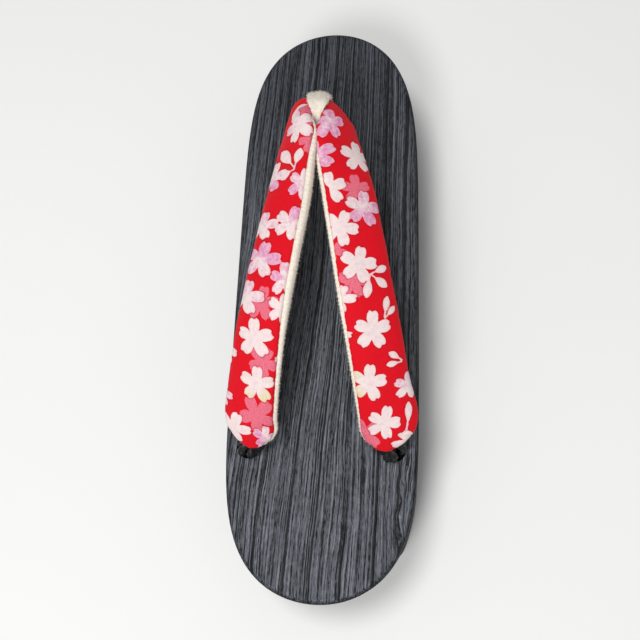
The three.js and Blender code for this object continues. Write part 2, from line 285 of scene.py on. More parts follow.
def mesh_object(name, points, faces, material):
    """A smooth mesh from points in millimetres."""
    mesh = bpy.data.meshes.new(name)
    mesh.from_pydata((np.asarray(points) * MM).tolist(), [], faces)
    shell = bmesh.new()
    shell.from_mesh(mesh)
    bmesh.ops.recalc_face_normals(shell, faces=shell.faces)
    shell.to_mesh(mesh)
    shell.free()
    mesh.shade_smooth()
    mesh.materials.append(material)
    return new_object(name, mesh)


def skin_faces(rings, sides, first=0):
    """Quads round a stack of closed rings, with a fan over each end that uses two more points."""
    ring, side = np.meshgrid(np.arange(rings - 1), np.arange(sides), indexing="ij")
    a = first + ring * sides + side
    b = first + ring * sides + (side + 1) % sides
    faces = np.stack([a, b, b + sides, a + sides], axis=-1).reshape(-1, 4).tolist()
    start, end = first + rings * sides, first + rings * sides + 1
    last = first + (rings - 1) * sides
    for k in range(sides):
        after = (k + 1) % sides
        faces.append([start, first + after, first + k])
        faces.append([end, last + k, last + after])
    return faces


def skin_points(rings):
    """The points of a stack of rings, then the middles of its first and last ring."""
    middles = np.stack([rings[0].mean(axis=0), rings[-1].mean(axis=0)])
    return np.vstack([rings.reshape(-1, 3), middles])


def skin_object(name, rings, material):
    return mesh_object(name, skin_points(rings), skin_faces(*rings.shape[:2]), material)


def tube_rings(path, radius, sides):
    """Rings of a round tube along a path."""
    upright = 1e-3
    ahead = unit(np.gradient(path, axis=0))
    side = np.cross(ahead, UP)
    side[np.linalg.norm(side, axis=1) < upright] = (1.0, 0.0, 0.0)
    side = unit(side)
    other = np.cross(side, ahead)
    turn = np.linspace(0, 2 * np.pi, sides, endpoint=False)[None, :, None]
    spoke = np.cos(turn) * side[:, None] + np.sin(turn) * other[:, None]
    return path[:, None] + radius * spoke


def set_layer(made, name, values, kind="FLOAT", field="value"):
    """Stores a number or a vector for each vertex of a piece."""
    layer = made.data.attributes.new(name, kind, "POINT")
    layer.data.foreach_set(field, np.ascontiguousarray(values, dtype=np.float32).ravel())


def belongs(piece, slot, *nodes):
    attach(piece, "root")
    if nodes:
        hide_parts(*nodes)


class Shader:
    """A material being made: a principled surface and the nodes that feed it."""

    def __init__(self, name):
        self.material = bpy.data.materials.new(name)
        self.material.use_nodes = True
        self.tree = self.material.node_tree
        self.surface = self.tree.nodes["Principled BSDF"]

    def feed(self, socket, value):
        if isinstance(value, bpy.types.NodeSocket):
            self.tree.links.new(value, socket)
        else:
            socket.default_value = value

    def node(self, kind, inputs=(), **settings):
        made = self.tree.nodes.new(kind)
        for key, value in settings.items():
            setattr(made, key, value)
        for key, value in dict(inputs).items():
            self.feed(made.inputs[key], value)
        return made

    def math(self, operation, *values):
        made = self.node("ShaderNodeMath", operation=operation)
        for socket, value in zip(made.inputs, values):
            self.feed(socket, value)
        return made.outputs[0]

    def times(self, a, b):
        return self.math("MULTIPLY", a, b)

    def sloped(self, value, slope, start):
        """The value times the slope, plus the start."""
        return self.math("MULTIPLY_ADD", value, slope, start)

    def mix(self, share, a, b):
        made = self.node("ShaderNodeMix", data_type="RGBA")
        for index, value in ((0, share), (6, a), (7, b)):
            self.feed(made.inputs[index], value)
        return made.outputs[2]

    def spread(self, value, low, high, new_low=0.0, new_high=1.0, way="LINEAR"):
        ends = {"Value": value, "From Min": low, "From Max": high, "To Min": new_low, "To Max": new_high}
        return self.node("ShaderNodeMapRange", ends, interpolation_type=way).outputs[0]

    def step(self, value, low, high):
        """0 at low, 1 at high, smooth between them; low may be the larger."""
        return self.spread(value, low, high, way="SMOOTHSTEP")

    def noise(self, place, scale, detail, roughness=0.5):
        """Smooth noise of 0 to 1, with scale waves to a millimetre in X, Y and Z."""
        sizes = {"Vector": self.scaled(place, scale), "Scale": 1.0, "Detail": detail, "Roughness": roughness}
        return self.node("ShaderNodeTexNoise", sizes).outputs[0]

    def attribute(self, name, output="Fac"):
        return self.node("ShaderNodeAttribute", attribute_name=name).outputs[output]

    def place(self):
        """The point on the object, in millimetres."""
        return self.scaled(self.node("ShaderNodeTexCoord").outputs["Object"], (1 / MM,) * 3)

    def scaled(self, place, scale):
        return self.node("ShaderNodeMapping", {"Vector": place, "Scale": scale}).outputs[0]

    def parts(self, place):
        return self.node("ShaderNodeSeparateXYZ", {"Vector": place}).outputs

    def joined(self, x, y, z):
        return self.node("ShaderNodeCombineXYZ", {"X": x, "Y": y, "Z": z}).outputs[0]

    def bump(self, height, distance, strength):
        """A normal from a height of 0 to 1 that stands for distance millimetres."""
        inputs = {"Height": height, "Distance": distance * MM, "Strength": strength}
        return self.node("ShaderNodeBump", inputs).outputs[0]

    def finish(self, colour, roughness, **inputs):
        """Feeds the surface's inputs, named with _ for each space, and gives the material."""
        inputs |= {"Base_Color": colour, "Roughness": roughness}
        for key, value in inputs.items():
            self.feed(self.surface.inputs[key.replace("_", " ")], value)
        return self.material


def tone(*srgb):
    """A colour from its 0 to 255 values as seen."""
    linear = [c / 12.92 if c <= 0.04045 else ((c + 0.055) / 1.055) ** 2.4 for c in (v / 255 for v in srgb)]
    return (*linear, 1.0)


# Materials

def wood_material():
    s = Shader("black_stained_wood")
    place = s.place()
    x, y, z = s.parts(place)

    def nearness(middle, size):
        """1 round a point of the board, 0 past an oval of the given half sizes."""
        scale = (1 / size[0], 1 / size[1], 1.0)
        shift = (-middle[0] / size[0], -middle[1] / size[1], 0.0)
        oval = {"Vector": s.joined(x, y, 0.0), "Scale": scale, "Location": shift}
        spot = s.node("ShaderNodeMapping", oval).outputs[0]
        length = s.node("ShaderNodeVectorMath", {0: spot}, operation="LENGTH").outputs["Value"]
        return s.step(length, 1.0, 0.35)

    # The grain leans, swings aside left of the middle, and wanders
    figured = nearness(**FIGURE)
    slow = s.noise(place, (0.014, 0.006, 0.02), 2.0)
    wander = s.noise(place, (0.07, 0.022, 0.07), 2.0)
    ripple = s.noise(place, (0.4, 0.10, 0.4), 1.0)
    lean = s.times(y, s.sloped(x, -0.0009, 0.034))
    swing = s.times(s.step(y, -80.0, 30.0), s.step(x, 30.0, -8.0))
    across = s.math("SUBTRACT", x, s.sloped(swing, 6.5, lean))
    across = s.sloped(slow, 9.0, across)
    across = s.sloped(wander, 1.6, across)
    across = s.sloped(ripple, s.sloped(figured, 2.6, 0.7), across)
    grain = s.joined(across, y, z)

    # Fibres that the brush left standing, and the grooves between them
    fibre = s.noise(grain, (1.85, 0.006, 1.85), 1.0)
    fine = s.noise(grain, (2.6, 0.05, 2.6), 1.0)
    flecks = s.noise(grain, (2.1, 0.42, 2.1), 2.0, 0.6)
    ridge = s.sloped(fibre, 0.44, s.times(fine, 0.30))
    ridge = s.sloped(flecks, 0.26, ridge)
    crest = s.spread(ridge, 0.42, 0.60)
    groove = s.step(ridge, 0.45, 0.405)

    # Dark late wood of the year rings, broken here and there
    uneven = s.noise(grain, (0.06, 0.002, 0.06), 1.0)
    phase = s.sloped(uneven, 0.9, s.times(across, 0.095))
    ring = s.math("FRACT", s.sloped(z, 0.04, phase))
    breaks = s.noise(grain, (0.12, 0.012, 0.12), 1.0)
    late = s.times(s.step(ring, 0.85, 0.93), s.step(ring, 0.985, 0.96))
    late = s.times(late, s.step(breaks, 0.36, 0.52))
    late = s.math("MAXIMUM", late, nearness(**KNOT_MARK))

    # The stain is darker in patches; the darkening towards the toe is painted shade for the duller
    # reflection there, and the darkened sides are painted shade
    patches = s.noise(place, (0.05, 0.012, 0.05), 2.0)
    # Raised fibres lighter and bluish grey: grain colour together with painted sheen on the ridges
    colour = s.mix(crest, tone(11, 13, 17), tone(115, 119, 128))
    # Grooves darkened: dark stain in the pores together with painted shade in the recesses
    colour = s.mix(s.times(groove, 0.8), colour, tone(4, 5, 8))
    colour = s.mix(s.times(late, 0.95), colour, tone(4, 5, 7))
    stain_patches_and_toe_shade = s.spread(patches, 0.35, 0.65, 0.0, 0.12)
    # Painted shade: the wood darkens towards the toe, standing for its duller reflection there
    stain_patches_and_toe_shade = s.sloped(s.step(y, -30.0, 100.0), 0.38, stain_patches_and_toe_shade)
    colour = s.mix(stain_patches_and_toe_shade, colour, tone(16, 20, 28))
    # Painted shade: faces that turn sideways, the board's sides and rounded top edge, are darkened (and made
    # rougher below)
    facing = s.parts(s.node("ShaderNodeNewGeometry").outputs["Normal"])[2]
    rim = s.step(s.math("ABSOLUTE", facing), 0.95, 0.70)
    colour = s.mix(s.times(rim, 0.75), colour, tone(14, 16, 19))

    height = s.math("SUBTRACT", crest, s.times(late, 0.9))
    height = s.math("SUBTRACT", height, s.times(groove, 0.5))
    normal = s.bump(height, 0.26, 0.9)
    roughness = s.sloped(rim, 0.25, s.spread(crest, 0.0, 1.0, 0.62, 0.45))
    return s.finish(colour, roughness, Normal=normal, Specular_IOR_Level=0.3)


def print_material():
    s = Shader("red_blossom_cotton")
    place = s.attribute("strap_place", "Vector")
    ragged = s.noise(place, (1.1,) * 3, 3.0, 0.6)
    ragged = s.sloped(ragged, 0.9, -0.45)
    mottle = s.noise(place, (0.55,) * 3, 4.0, 0.7)
    speck = s.noise(place, (2.3,) * 3, 2.0, 0.6)
    bloom = s.math("ADD", s.attribute("bloom"), ragged)
    rose = s.math("ADD", s.attribute("rose"), ragged)
    leaf = s.math("ADD", s.attribute("leaf"), s.times(ragged, 0.5))
    pale = s.math("MAXIMUM", bloom, leaf)

    # Red ground, rose blossoms on it, and a dark line round the pale ones
    colour = s.mix(mottle, tone(220, 3, 26), tone(238, 8, 32))
    colour = s.mix(s.spread(speck, 0.35, 0.7, 0.0, 0.20), colour, tone(150, 2, 18))
    rose_tone = s.mix(s.step(speck, 0.35, 0.7), tone(228, 88, 112), tone(238, 138, 154))
    rose_tone = s.mix(s.step(mottle, 0.55, 0.75), rose_tone, tone(216, 104, 142))
    colour = s.mix(s.step(rose, -0.25, 0.25), colour, rose_tone)
    edge = s.times(s.step(pale, -0.75, -0.2), s.step(speck, 0.35, 0.55))
    colour = s.mix(s.times(edge, 0.6), colour, tone(140, 6, 22))

    # Pale petals and leaves, tinted lilac and gold in places
    petal = s.mix(s.step(mottle, 0.35, 0.72), tone(246, 231, 227), tone(236, 210, 214))
    petal = s.mix(s.spread(speck, 0.4, 0.7, 0.0, 0.35), petal, tone(232, 200, 202))
    lilac = s.mix(s.step(mottle, 0.3, 0.65), tone(240, 196, 215), tone(220, 136, 180))
    patchy = s.math("ADD", s.attribute("lilac"), s.math("SUBTRACT", mottle, 0.5))
    petal = s.mix(s.step(patchy, 0.05, 0.9), petal, lilac)
    golden = s.times(s.attribute("gold"), s.step(mottle, 0.25, 0.6))
    petal = s.mix(golden, petal, tone(228, 216, 146))
    fringe = s.times(s.step(pale, 0.75, 0.1), 0.5)
    petal = s.mix(fringe, petal, tone(250, 176, 180))
    colour = s.mix(s.step(pale, -0.12, 0.12), colour, petal)

    yarn = 0.42
    weave = s.scaled(place, (2 * math.pi / yarn,) * 3)
    warp, weft, _ = s.parts(weave)
    yarns = s.times(s.math("SINE", warp), s.math("SINE", weft))
    cloth = s.math("ADD", s.times(yarns, 0.5), s.times(speck, 0.8))
    normal = s.bump(cloth, 0.05, 0.6)
    roughness = s.spread(speck, 0.3, 0.7, 0.72, 0.88)
    fuzz = {"Sheen_Weight": 0.03, "Sheen_Roughness": 0.5}
    return s.finish(colour, roughness, Normal=normal, Specular_IOR_Level=0.2, **fuzz)


def velvet_material():
    s = Shader("cream_velvet")
    place = s.place()
    soft = s.noise(place, (0.35,) * 3, 3.0, 0.6)
    pile = s.noise(place, (3.2, 2.2, 3.2), 2.0, 0.6)
    colour = s.mix(soft, tone(250, 242, 228), tone(255, 251, 242))
    colour = s.mix(s.step(pile, 0.60, 0.38), colour, tone(236, 224, 205))
    normal = s.bump(pile, 0.16, 0.7)
    roughness = s.spread(pile, 0.3, 0.7, 0.85, 1.0)
    fuzz = {"Sheen_Weight": 0.35, "Sheen_Roughness": 0.35}
    return s.finish(colour, roughness, Normal=normal, Specular_IOR_Level=0.2, **fuzz)


def cord_material():
    s = Shader("black_cord")
    place = s.place()
    strands = s.noise(place, (2.4, 2.4, 1.1), 2.0, 0.6)
    colour = s.mix(s.step(strands, 0.35, 0.7), tone(6, 6, 7), tone(26, 25, 26))
    normal = s.bump(strands, 0.12, 0.8)
    roughness = s.spread(strands, 0.3, 0.7, 0.16, 0.34)
    return s.finish(colour, roughness, Normal=normal, Coat_Weight=0.3, Coat_Roughness=0.2)


def floor_material():
    s = Shader("pale_floor")
    tint = s.noise(s.place(), (0.01,) * 3, 2.0)
    colour = s.mix(tint, tone(247, 247, 246), tone(250, 250, 249))
    return s.finish(colour, 0.9, Specular_IOR_Level=0.1)


# Camera, floor and light

def photo_axes():
    """Right, up and forward of the photograph's camera."""
    tilt, turn = math.radians(PHOTO_TILT), math.radians(PHOTO_TURN)
    axes = np.array(((1, 0, 0), (0, math.cos(tilt), math.sin(tilt)), (0, math.sin(tilt), -math.cos(tilt))))
    turned = np.array(((math.cos(turn), math.sin(turn), 0), (-math.sin(turn), math.cos(turn), 0), (0, 0, 1)))
    return axes @ turned


def photo_pixels(points):
    """Where points in millimetres show in the photograph."""
    right, up, forward = photo_axes()
    seen = points - CAMERA_PLACE
    depth = seen @ forward
    x = PHOTO_SIZE / 2 + PHOTO_FOCAL * (seen @ right) / depth
    y = PHOTO_SIZE / 2 - PHOTO_FOCAL * (seen @ up) / depth
    return np.stack([x, y], axis=-1)


def add_camera():
    right, up, forward = photo_axes()
    x, y = (np.array(PHOTO_SANDAL_PIXEL) - PHOTO_SIZE / 2) / PHOTO_FOCAL
    ahead = unit(forward + x * right - y * up)
    sideways = unit(np.cross(ahead, up))
    lens = bpy.data.cameras.new("camera")
    lens.sensor_width = SENSOR_WIDTH
    lens.lens = PHOTO_FOCAL / PHOTO_SIZE * SENSOR_WIDTH
    lens.clip_start = NEAR_CLIP
    camera = new_object("camera", lens)
    turned = Matrix(np.stack([sideways, np.cross(sideways, ahead), -ahead], axis=1).tolist()).to_4x4()
    camera.matrix_world = Matrix.Translation(Vector(CAMERA_PLACE * MM)) @ turned
    bpy.context.scene.camera = camera


def add_light(name, place, aim, size, power):
    """A round lamp, with its place, aim and width in metres and its power in watts."""
    lamp = bpy.data.lights.new(name, "AREA")
    lamp.shape = "DISK"
    lamp.size = size
    lamp.energy = power
    made = new_object(name, lamp)
    made.location = place
    made.rotation_euler = (Vector(aim) - Vector(place)).to_track_quat("-Z", "Y").to_euler()


def add_studio():
    world = bpy.data.worlds.new("studio")
    world.use_nodes = True
    sky = world.node_tree.nodes["Background"].inputs
    sky["Color"].default_value = tone(255, 255, 255)
    sky["Strength"].default_value = WORLD_STRENGTH
    bpy.context.scene.world = world
    bpy.context.scene.view_settings.view_transform = "Standard"
    add_light("key", place=(-0.13, 0.02, 1.00), aim=(0, -0.02, 0.05), size=0.30, power=4.1)
    add_light("heel_side", place=(-0.17, -0.56, 0.85), aim=(0, -0.08, 0.0), size=0.3, power=3.4)
    corners = [(x * FLOOR_HALF, y * FLOOR_HALF, 0) for x, y in ((-1, -1), (1, -1), (1, 1), (-1, 1))]
    floor = mesh_object("floor", corners, [[0, 1, 2, 3]], floor_material())


# The strap

def strap_rows():
    """Sections from the left rear end round the fold to the right one: place, half sizes, roll, seam."""
    def section(row, side, own_seam):
        along, out, rise, inner, outer, half, roll = row
        turned = smoothstep(along, SEAM_INNER["from"], SEAM_INNER["to"])
        seam = own_seam + (SEAM_INNER["fold"] - own_seam) * turned
        lean = FRONT_LEAN["shift"] * smoothstep(along, FRONT_LEAN["from"], FRONT_LEAN["to"])
        return (side * out + lean, along, TOP + rise, inner, outer, half, roll - side * ROLL_BIAS, seam)

    left = [section(row, -1, SEAM_INNER["left"]) for row in ARM_ROWS]
    right = [section(row, 1, SEAM_INNER["right"]) for row in ARM_ROWS]
    return np.array([*left, section(FOLD_ROW, 0, SEAM_INNER["fold"]), *right[::-1]])


STRAP_ROWS = strap_rows()
STRAP_LAST = len(STRAP_ROWS) - 1
STRAP_FOLD = STRAP_LAST / 2


def strap_sections(t):
    """Where the strap's sections stand at row numbers t, and which way they face."""
    nudge = 0.002
    rows = through(STRAP_ROWS, t)
    after = through(STRAP_ROWS, np.minimum(t + nudge, STRAP_LAST))
    before = through(STRAP_ROWS, np.maximum(t - nudge, 0))
    ahead = unit(after[:, :3] - before[:, :3])
    level = unit(np.cross(ahead, UP))
    upright = unit(np.cross(level, ahead))
    roll = np.radians(rows[:, 6:7])
    return {
        "middle": rows[:, :3],
        "ahead": ahead,
        "inward": level * np.cos(roll) + upright * np.sin(roll),
        "outward": upright * np.cos(roll) - level * np.sin(roll),
        "inner": rows[:, 3:4],
        "outer": rows[:, 4:5],
        "half": rows[:, 5:6],
        "seam": rows[:, 7],
    }


def section_points(sections, degrees, lift=0.0):
    """Points of the sections' outlines at angles from their inner edges, lifted off the outline."""
    c, s = np.cos(np.radians(degrees)), np.sin(np.radians(degrees))
    reach = np.where(c > 0, sections["inner"], sections["outer"]) + lift
    depth = np.where(s > 0, sections["half"], sections["half"] * BELLY) + lift
    inward = np.sign(c) * reach * np.abs(c) ** FULLNESS
    outward = np.sign(s) * depth * np.abs(s) ** FULLNESS
    level = inward[..., None] * sections["inward"][:, None]
    upright = outward[..., None] * sections["outward"][:, None]
    return sections["middle"][:, None] + level + upright


FINE_ANGLES = 121
FINE_ROWS = 4001


def even_angles(sections, first, last, count):
    """Angles that cut each section's outline, from first to last, into even steps."""
    fine = first[:, None] + (last - first)[:, None] * np.linspace(0, 1, FINE_ANGLES)
    reached = lengths_along(section_points(sections, fine))
    wanted = np.linspace(0, 1, count)
    return np.array([np.interp(wanted * run[-1], run, angles) for run, angles in zip(reached, fine)])


def even_rows(spacing):
    """Row numbers that cut the strap's length into even steps, how far along it they lie, and the fold."""
    fine = np.linspace(0, STRAP_LAST, FINE_ROWS)
    reached = lengths_along(through(STRAP_ROWS, fine)[:, :3])
    along = np.linspace(0, reached[-1], int(reached[-1] / spacing))
    return np.interp(along, reached, fine), along, np.interp(STRAP_FOLD, fine, reached)


TIP_TURNS = np.radians((20, 40, 58, 72, 83))
TIP_RINGS = len(TIP_TURNS)
TIP_REACH = 0.7


def rounded_ends(rings):
    """The rings with both ends drawn in to a soft rounded tip."""
    def tip(end, inner):
        middle = end.mean(axis=0)
        out = TIP_REACH * unit(middle - inner.mean(axis=0))
        return [middle + (end - middle) * math.cos(a) + out * math.sin(a) for a in TIP_TURNS]

    return np.stack([*tip(rings[0], rings[1])[::-1], *rings, *tip(rings[-1], rings[-2])])


def over_tips(values):
    """The values of the rings' points, carried on over the rounded ends."""
    spare = ((TIP_RINGS, TIP_RINGS), (0, 0), (0, 0))[: values.ndim]
    rings = np.pad(values, spare, "edge").reshape(-1, *values.shape[2:])
    return np.concatenate([rings, values[:1, 0], values[-1:, 0]])


def crease_relief(arm, back, inward):
    """Soft troughs with a ridge on either side."""
    relief = np.zeros_like(inward)
    for arms, middle_back, middle_inward, degrees, length, width, depth in CREASES:
        turn = math.radians(degrees)
        x, y = inward - middle_inward, back - middle_back
        run = (x * math.cos(turn) + y * math.sin(turn)) / (length / 2)
        off = (y * math.cos(turn) - x * math.sin(turn)) / width
        shape = (1 - 1.2 * off**2) * np.exp(-(off**2)) * np.exp(-(run**4))
        relief -= np.where(np.isin(arm, arms), depth * shape, 0.0)
    return relief


def seam_relief(edge, waves, pucker, dip):
    """Puckers that fade away from the edge, and the dip where the seam draws the cloth down."""
    down = dip["depth"] * (1 - smoothstep(edge, 0.0, dip["width"]))
    return pucker["height"] * waves * np.exp(-edge / pucker["reach"]) - down


def swell_relief(arm, back, angles):
    """How far the padding stands past its even section; none at the fold itself."""
    relief = np.zeros(np.broadcast_shapes(np.shape(back), np.shape(angles)))
    for swollen, middle, length, angle, breadth, height in arm_rows(SWELLS):
        off = (angles - angle + 180) % 360 - 180
        shape = np.exp(-(((back - middle) / length) ** 2) - (off / breadth) ** 2)
        relief += np.where(arm == swollen, height * shape, 0.0)
    return relief * smoothstep(back, 0.0, SWELL_START)


# A petal's outline as shares of its length, and a leaf's with the half width of its stem in millimetres
PETALS = 5
PETAL_ANGLE = 360 / PETALS
PETAL_SIZES = (0.97, 1.08)
PETAL = {"heart": 0.36, "bend": 2.1, "fullness": 0.93, "notch": 0.11, "notch_degrees": 6.5}
LEAF = {"stem": 0.28, "start": 0.25, "bend": 1.25, "fullness": 0.7}
LILAC_FADE = {"heart": 0.45, "from": 0.1, "to": 0.7}
GOLD_FADE = {"from": 0.3, "to": 0.85}
MARKS = ("bloom", "rose", "leaf")
TINTS = ("lilac", "gold")
NO_MARK = -9.0
NO_TINT = (0.0,) * PETALS
SQUEEZE_RANGE = (0.62, 1.0)


def seen_offset(mark, across, back):
    """Distances from a mark's middle, as they show where the cloth slants away from the eye."""
    return (across - mark["across"]) * mark["squeeze"][0], (back - mark["back"]) * mark["squeeze"][1]


def blossom_depth(blossom, across, back):
    """How far inside the blossom's edge points lie, their petal, and their share of its radius."""
    x, y = seen_offset(blossom, across, back)
    reach = np.hypot(x, y)
    turn = np.degrees(np.arctan2(y, x)) - blossom["turn"]
    petal = np.round(turn / PETAL_ANGLE)
    off = turn - petal * PETAL_ANGLE
    petal = petal.astype(int) % PETALS
    swell = (1 - np.abs(off / (PETAL_ANGLE / 2)) ** PETAL["bend"]).clip(0) ** PETAL["fullness"]
    notch = 1 - PETAL["notch"] * np.exp(-((off / PETAL["notch_degrees"]) ** 2))
    length = blossom["radius"] * blossom["sizes"][petal]
    edge = length * (PETAL["heart"] + (1 - PETAL["heart"]) * swell) * notch
    depth = np.where(petal < blossom["petals"], edge - reach, NO_MARK)
    return depth, petal, reach / blossom["radius"]


def leaf_depth(stem, tip, width, across, back):
    """How far inside a leaf's edge points lie: a thin stem that widens to a rounded blade."""
    run = np.array(seen_offset(stem, tip["across"], tip["back"]))
    length = np.hypot(*run)
    run /= length
    x, y = seen_offset(stem, across, back)
    share = (x * run[0] + y * run[1]) / length
    off = np.abs(y * run[0] - x * run[1])
    opened = np.clip((share - LEAF["start"]) / (1 - LEAF["start"]), 0, 1)
    blade = np.sin(np.pi * opened ** LEAF["bend"]) ** LEAF["fullness"]
    half = np.maximum(LEAF["stem"], width / 2 * blade)
    beyond = np.maximum(-share, share - 1) * length
    return np.where(beyond > 0, -np.maximum(beyond, 0) - off, half - off)


class StrapChart:
    """Finds a pixel of the photograph on the strap's crown, as distances across and back from the fold."""

    def __init__(self, points, arm, across, back):
        normal = np.cross(np.gradient(points, axis=0), np.gradient(points, axis=1))
        faces = np.einsum("ijk,ijk->ij", normal, CAMERA_PLACE - points)
        faces *= np.sign(np.median(faces))
        self.pixels = photo_pixels(points)
        self.scale = PHOTO_FOCAL / ((points - CAMERA_PLACE) @ photo_axes()[2])
        self.arm, self.across, self.back, self.shown = arm, across, back, faces > 0

    def find(self, arm, x, y):
        """The place of a pixel, the turn of the strap there, and how much it is foreshortened."""
        offset = np.array((x, y)) - self.pixels
        miss = np.where(self.shown & (self.arm == arm), np.hypot(offset[..., 0], offset[..., 1]), np.inf)
        i, j = np.unravel_index(np.argmin(miss), miss.shape)
        row = i - 1 if arm == "left" else i + 1
        column = j - 1 if j else 1
        behind = self.pixels[row, j] - self.pixels[i, j]
        beside = self.pixels[i, column] - self.pixels[i, j]
        turn = math.atan2(behind[1], behind[0]) - math.pi / 2
        shown = np.array((np.hypot(*beside), np.hypot(*behind))) / self.scale[i, j]
        steps = abs(self.across[i, column] - self.across[i, j]), abs(self.back[row, j] - self.back[i, j])
        squeeze = np.clip(shown / np.array(steps), *SQUEEZE_RANGE)
        dx, dy = offset[i, j] / self.scale[i, j]
        across = self.across[i, j] + dx * math.cos(turn) + dy * math.sin(turn)
        back = self.back[i, j] + dy * math.cos(turn) - dx * math.sin(turn)
        return {"across": across, "back": back, "turn": math.degrees(turn), "squeeze": squeeze}


def paint_print(cover, chart, columns):
    """Stores the blossoms, rose blossoms and leaves on the cover's crown as depths inside their edges."""
    shape = chart.across.shape
    blank = {**dict.fromkeys(MARKS, NO_MARK), **dict.fromkeys(TINTS, 0.0)}
    layers = {name: np.full(shape, value) for name, value in blank.items()}
    for arm, x, y, radius, turn, kind, *petals in arm_rows(BLOSSOMS):
        blossom = chart.find(arm, x, y) | {"radius": radius, "petals": petals[0] if petals else PETALS}
        blossom["turn"] = turn - blossom["turn"]
        blossom["sizes"] = rng.uniform(*PETAL_SIZES, PETALS)
        depth, petal, share = blossom_depth(blossom, chart.across, chart.back)
        depth = np.where(chart.arm == arm, depth, NO_MARK)
        if kind == "rose":
            layers["rose"] = np.maximum(layers["rose"], depth)
            continue
        nearest = depth > layers["bloom"]
        layers["bloom"] = np.where(nearest, depth, layers["bloom"])
        heart = LILAC_FADE["heart"] * (1 - smoothstep(share, LILAC_FADE["from"], LILAC_FADE["to"]))
        lilac = np.array(PETAL_LILAC.get(kind, NO_TINT))[petal] * (1 - heart)
        gold = np.array(PETAL_GOLD.get(kind, NO_TINT))[petal]
        gold = gold * smoothstep(share, GOLD_FADE["from"], GOLD_FADE["to"])
        layers["lilac"] = np.where(nearest, lilac, layers["lilac"])
        layers["gold"] = np.where(nearest, gold, layers["gold"])
    for arm, x, y, tip_x, tip_y, width in arm_rows(LEAVES):
        stem, tip = chart.find(arm, x, y), chart.find(arm, tip_x, tip_y)
        depth = leaf_depth(stem, tip, width, chart.across, chart.back)
        layers["leaf"] = np.maximum(layers["leaf"], np.where(chart.arm == arm, depth, NO_MARK))
    plain = layers["leaf"] > layers["bloom"]
    for name in TINTS:
        layers[name] = np.where(plain, 0.0, layers[name])
    for name, values in layers.items():
        whole = np.full((shape[0], columns), blank[name])
        whole[:, : shape[1]] = values
        set_layer(cover, name, over_tips(whole))


# How far the seam moves under the inner edge in the cloth as sewn: degrees along each arm, and at the fold
SEAM_TUCK = {"left": 0.0, "right": 7.0, "left_fold": 22.0, "right_fold": 34.0, "from": 16.0, "to": 42.0}
REAR_TUCK = {"left": 17.0, "right": 3.0, "from": 70.0, "to": 112.0}


def sewn_seam(sections, along, fold):
    """The angle of the inner seam round each section, with the cloth's own tucks."""
    left = along < fold
    near = 1 - smoothstep(np.abs(along - fold), SEAM_TUCK["from"], SEAM_TUCK["to"])
    arm = np.where(left, SEAM_TUCK["left"], SEAM_TUCK["right"])
    end = np.where(left, SEAM_TUCK["left_fold"], SEAM_TUCK["right_fold"])
    rear = np.where(left, REAR_TUCK["left"], REAR_TUCK["right"])
    rear = rear * smoothstep(np.abs(along - fold), REAR_TUCK["from"], REAR_TUCK["to"])
    return sections["seam"] - arm - (end - arm) * near - rear


COVER_STEP = 0.42
COVER_ARC = 60
BED_ARC = 8
BED_EDGE = 1.0
ARM_PATTERN_SHIFT = 400.0


def strap_cover():
    t, along, fold = even_rows(COVER_STEP)
    sections = strap_sections(t)
    sections["seam"] = sewn_seam(sections, along, fold)
    outer = np.full(len(t), SEAM_OUTER)
    angles = even_angles(sections, sections["seam"], outer, COVER_ARC)
    crown = section_points(sections, angles)
    reached = lengths_along(crown)
    crest = np.array([np.interp(90.0, a, r) for a, r in zip(angles, reached)])
    left = (along < fold)[:, None]
    arm = np.broadcast_to(np.where(left, "left", "right"), reached.shape)
    inward = crest[:, None] - reached
    across = np.where(left, inward, -inward)
    back = np.broadcast_to(np.abs(along - fold)[:, None], reached.shape)
    chart = StrapChart(crown, arm, across, back)

    edge = np.minimum(reached, reached[:, -1:] - reached)
    pucker = np.sin(back * 2.1 + 0.8 * np.sin(back * 0.37)) * np.sin(back * 0.83 + 1.0)
    lift = crease_relief(arm, back, inward) + swell_relief(arm, back, angles)
    lift += seam_relief(edge, pucker, PRINT_PUCKER, PRINT_DIP)
    lift += PADDING_WAVE * np.sin(back * 0.29 + across * 0.11) * np.sin(across * 0.31 + back * 0.05 + 1.0)
    crown = section_points(sections, angles, lift)

    bed = LINING_THICKNESS + CLEARANCE
    flat = np.linspace(0, 1, BED_ARC)
    seam = sections["seam"][:, None]
    bed_angles = SEAM_OUTER + SEAM_GAP + (360 + seam - SEAM_OUTER - 2 * SEAM_GAP) * flat
    sides = [section_points(sections, outer[:, None], -depth) for depth in (BED_EDGE, bed)]
    inner_side = [section_points(sections, 360 + seam, -depth) for depth in (bed, BED_EDGE)]
    rings = np.concatenate([crown, *sides, section_points(sections, bed_angles, -bed), *inner_side], axis=1)
    columns = rings.shape[1]
    cover = skin_object("strap_cover_print", rounded_ends(rings), print_material())
    paint_print(cover, chart, columns)
    where = np.zeros((len(t), columns, 3))
    apart = np.broadcast_to(np.where(left, 0.0, ARM_PATTERN_SHIFT), back.shape)
    where[:, :COVER_ARC] = np.stack([across, back, apart], axis=-1)
    where[:, COVER_ARC:, 1] = back[:, :1]
    set_layer(cover, "strap_place", over_tips(where), "FLOAT_VECTOR", "vector")
    belongs(cover, "print", "strap_cover")


LINING_STEP = 0.36
LINING_ARC = 36
LINING_TUCK = 1.0


